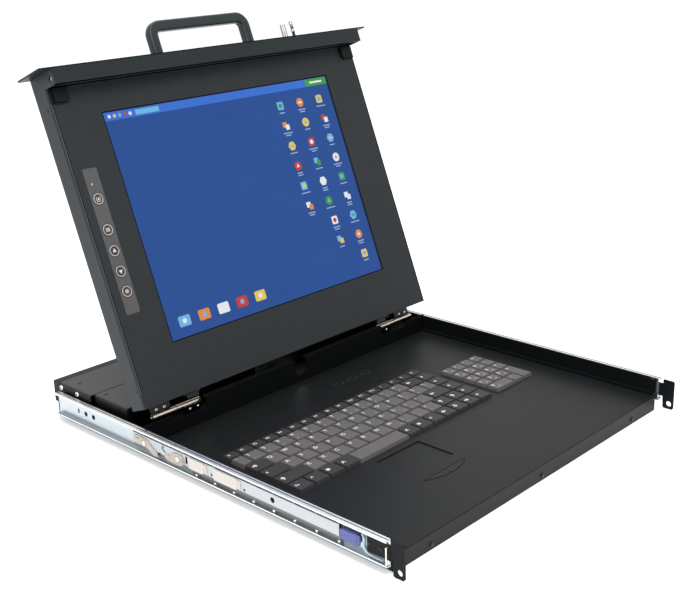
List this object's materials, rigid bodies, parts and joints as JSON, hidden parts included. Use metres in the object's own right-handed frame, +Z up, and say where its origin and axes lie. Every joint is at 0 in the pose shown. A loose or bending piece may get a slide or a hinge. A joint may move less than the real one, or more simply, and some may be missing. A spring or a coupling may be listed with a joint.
{
  "type": "rackmount console drawer",
  "caption": "Pull-out rack tray with compact keyboard, touch pad and ball-bearing side slides, and a hinged display lid whose end carries a front plate with a bail handle.",
  "frame": {"origin": "middle of the tray's flat underside", "axes": "+X to the user's right, +Y from the front lip to the rear panel, +Z up out of the deck; the lid stands open"},
  "size_m": [0.4506, 0.5018, 0.4046],
  "materials": {
    "powder_coat": "satin",
    "zinc_steel": "satin",
    "bright_steel": "polished",
    "hinge_steel": "satin",
    "white_nylon": "matte",
    "blue_nylon": "matte",
    "black_plastic": "matte",
    "blue_plastic": "gloss",
    "circuit_board": "matte",
    "display": "gloss",
    "grey_rubber": "matte",
    "overlay_grey": "satin",
    "button_grey": "satin",
    "chrome": "polished",
    "lamp_lens": "gloss",
    "key_taupe": "matte",
    "key_dark": "matte"
  },
  "bodies": {
    "tray": {"base_pan": "powder_coat", "deck_panel": "powder_coat", "hinge_beam": "powder_coat", "front_cover": "powder_coat", "rear_cover": "powder_coat", "rear_panel": "powder_coat", "power_inlet": "black_plastic", "signal_connectors": "blue_plastic", "psu_module": "circuit_board", "controller_board": "circuit_board", "tray_screws": "bright_steel", "stop_springs": "white_nylon", "hinge_tray_leaves": "hinge_steel", "hinge_pins": "bright_steel", "left_ear_bracket": "powder_coat", "right_ear_bracket": "powder_coat", "left_slide_channel": "zinc_steel", "right_slide_channel": "zinc_steel", "keyboard_frame": "black_plastic", "number_pad_frame": "black_plastic", "touchpad_module": "black_plastic", "indicator_lenses": "lamp_lens"},
    "lid": {"lid_shell": "powder_coat", "lid_bezel": "powder_coat", "lcd_panel": "display", "lcd_driver_board": "circuit_board", "fascia_plate": "powder_coat", "handle": "powder_coat", "latch_blocks": "grey_rubber", "osd_overlay": "overlay_grey", "lid_screws": "bright_steel", "hinge_lid_leaves": "hinge_steel"},
    "left_slide_member": {"left_slide_member": "zinc_steel", "left_slide_blocks": "white_nylon"},
    "left_ball_cage": {"left_ball_cage": "bright_steel"},
    "left_release_tab": {"left_release_tab": "blue_nylon"},
    "left_rear_lever": {"left_rear_lever": "white_nylon"},
    "left_front_lever": {"left_front_lever": "white_nylon"},
    "right_slide_member": {"right_slide_member": "zinc_steel", "right_slide_blocks": "white_nylon"},
    "right_ball_cage": {"right_ball_cage": "bright_steel"},
    "right_release_tab": {"right_release_tab": "blue_nylon"},
    "right_rear_lever": {"right_rear_lever": "white_nylon"},
    "right_front_lever": {"right_front_lever": "white_nylon"},
    "osd_button_1": {"osd_button_1": "button_grey"},
    "osd_button_2": {"osd_button_2": "button_grey"},
    "osd_button_3": {"osd_button_3": "button_grey"},
    "osd_button_4": {"osd_button_4": "button_grey"},
    "osd_button_5": {"osd_button_5": "button_grey"},
    "thumbscrew": {"thumbscrew": "chrome"},
    "release_plunger": {"release_plunger": "chrome"},
    "function_keys": {"function_keys": "key_dark"},
    "letter_keys": {"letter_keys": "key_taupe"},
    "modifier_keys_left": {"modifier_keys_left": "key_dark"},
    "space_bar": {"space_bar": "key_taupe"},
    "modifier_keys_right": {"modifier_keys_right": "key_dark"},
    "navigation_keys": {"navigation_keys": "key_dark"},
    "number_pad_keys": {"number_pad_keys": "key_taupe"},
    "left_touchpad_button": {"left_touchpad_button": "black_plastic"},
    "right_touchpad_button": {"right_touchpad_button": "black_plastic"}
  },
  "joints": [
    {"name": "lid_hinge", "type": "hinge", "parent": "tray", "child": "lid", "pos_m": [0, 0.0881, 0.0368], "axis": [1, 0, 0], "range_deg": [-9.1, 110.9]},
    {"name": "left_member_slide", "type": "slide", "parent": "tray", "child": "left_slide_member", "axis": [0, 1, 0], "range_m": [0, 0.25]},
    {"name": "left_cage_slide", "type": "slide", "parent": "tray", "child": "left_ball_cage", "axis": [0, 1, 0], "range_m": [0, 0.125]},
    {"name": "left_tab_slide", "type": "slide", "parent": "tray", "child": "left_release_tab", "axis": [0, 1, 0], "range_m": [-0.0045, 0], "stiffness_N_per_m": 300, "springref_m": 0.001},
    {"name": "left_rear_lever_pivot", "type": "hinge", "parent": "left_slide_member", "child": "left_rear_lever", "pos_m": [-0.219, 0.0727, 0.0222], "axis": [1, 0, 0], "range_deg": [-12, 5], "stiffness_Nm_per_rad": 0.05},
    {"name": "left_front_lever_pivot", "type": "hinge", "parent": "left_slide_member", "child": "left_front_lever", "pos_m": [-0.219, 0.0214, 0.0213], "axis": [1, 0, 0], "range_deg": [-8, 8], "stiffness_Nm_per_rad": 0.05},
    {"name": "right_member_slide", "type": "slide", "parent": "tray", "child": "right_slide_member", "axis": [0, 1, 0], "range_m": [0, 0.25]},
    {"name": "right_cage_slide", "type": "slide", "parent": "tray", "child": "right_ball_cage", "axis": [0, 1, 0], "range_m": [0, 0.125]},
    {"name": "right_tab_slide", "type": "slide", "parent": "tray", "child": "right_release_tab", "axis": [0, 1, 0], "range_m": [-0.0045, 0], "stiffness_N_per_m": 300, "springref_m": 0.001},
    {"name": "right_rear_lever_pivot", "type": "hinge", "parent": "right_slide_member", "child": "right_rear_lever", "pos_m": [0.219, 0.0727, 0.0222], "axis": [1, 0, 0], "range_deg": [-12, 5], "stiffness_Nm_per_rad": 0.05},
    {"name": "right_front_lever_pivot", "type": "hinge", "parent": "right_slide_member", "child": "right_front_lever", "pos_m": [0.219, 0.0214, 0.0213], "axis": [1, 0, 0], "range_deg": [-8, 8], "stiffness_Nm_per_rad": 0.05},
    {"name": "osd_press_1", "type": "slide", "parent": "lid", "child": "osd_button_1", "axis": [0, 0.9342, -0.3567], "range_m": [0, 0.0006], "stiffness_N_per_m": 500, "springref_m": -0.0005},
    {"name": "osd_press_2", "type": "slide", "parent": "lid", "child": "osd_button_2", "axis": [0, 0.9342, -0.3567], "range_m": [0, 0.0006], "stiffness_N_per_m": 500, "springref_m": -0.0005},
    {"name": "osd_press_3", "type": "slide", "parent": "lid", "child": "osd_button_3", "axis": [0, 0.9342, -0.3567], "range_m": [0, 0.0006], "stiffness_N_per_m": 500, "springref_m": -0.0005},
    {"name": "osd_press_4", "type": "slide", "parent": "lid", "child": "osd_button_4", "axis": [0, 0.9342, -0.3567], "range_m": [0, 0.0006], "stiffness_N_per_m": 500, "springref_m": -0.0005},
    {"name": "osd_press_5", "type": "slide", "parent": "lid", "child": "osd_button_5", "axis": [0, 0.9342, -0.3567], "range_m": [0, 0.0006], "stiffness_N_per_m": 500, "springref_m": -0.0005},
    {"name": "thumbscrew_turn", "type": "hinge", "parent": "lid", "child": "thumbscrew", "pos_m": [0.122, 0.20527, 0.36606], "axis": [0, 0.3567, 0.9342], "continuous": true},
    {"name": "plunger_pull", "type": "slide", "parent": "lid", "child": "release_plunger", "axis": [0, 0.3567, 0.9342], "range_m": [0, 0.005], "stiffness_N_per_m": 400, "springref_m": -0.002},
    {"name": "function_keys_press", "type": "slide", "parent": "tray", "child": "function_keys", "axis": [0, 0, -1], "range_m": [0, 0.002], "stiffness_N_per_m": 900, "springref_m": -0.002},
    {"name": "letter_keys_press", "type": "slide", "parent": "tray", "child": "letter_keys", "axis": [0, 0, -1], "range_m": [0, 0.002], "stiffness_N_per_m": 900, "springref_m": -0.002},
    {"name": "modifier_keys_left_press", "type": "slide", "parent": "tray", "child": "modifier_keys_left", "axis": [0, 0, -1], "range_m": [0, 0.002], "stiffness_N_per_m": 900, "springref_m": -0.002},
    {"name": "space_bar_press", "type": "slide", "parent": "tray", "child": "space_bar", "axis": [0, 0, -1], "range_m": [0, 0.002], "stiffness_N_per_m": 900, "springref_m": -0.002},
    {"name": "modifier_keys_right_press", "type": "slide", "parent": "tray", "child": "modifier_keys_right", "axis": [0, 0, -1], "range_m": [0, 0.002], "stiffness_N_per_m": 900, "springref_m": -0.002},
    {"name": "navigation_keys_press", "type": "slide", "parent": "tray", "child": "navigation_keys", "axis": [0, 0, -1], "range_m": [0, 0.002], "stiffness_N_per_m": 900, "springref_m": -0.002},
    {"name": "number_pad_keys_press", "type": "slide", "parent": "tray", "child": "number_pad_keys", "axis": [0, 0, -1], "range_m": [0, 0.002], "stiffness_N_per_m": 900, "springref_m": -0.002},
    {"name": "left_touchpad_press", "type": "slide", "parent": "tray", "child": "left_touchpad_button", "axis": [0, 0, -1], "range_m": [0, 0.0008], "stiffness_N_per_m": 500, "springref_m": -0.001},
    {"name": "right_touchpad_press", "type": "slide", "parent": "tray", "child": "right_touchpad_button", "axis": [0, 0, -1], "range_m": [0, 0.0008], "stiffness_N_per_m": 500, "springref_m": -0.001}
  ],
  "couplings": [
    {"joint": "left_cage_slide", "follows": "left_member_slide", "ratio": 0.5},
    {"joint": "right_cage_slide", "follows": "right_member_slide", "ratio": 0.5}
  ]
}
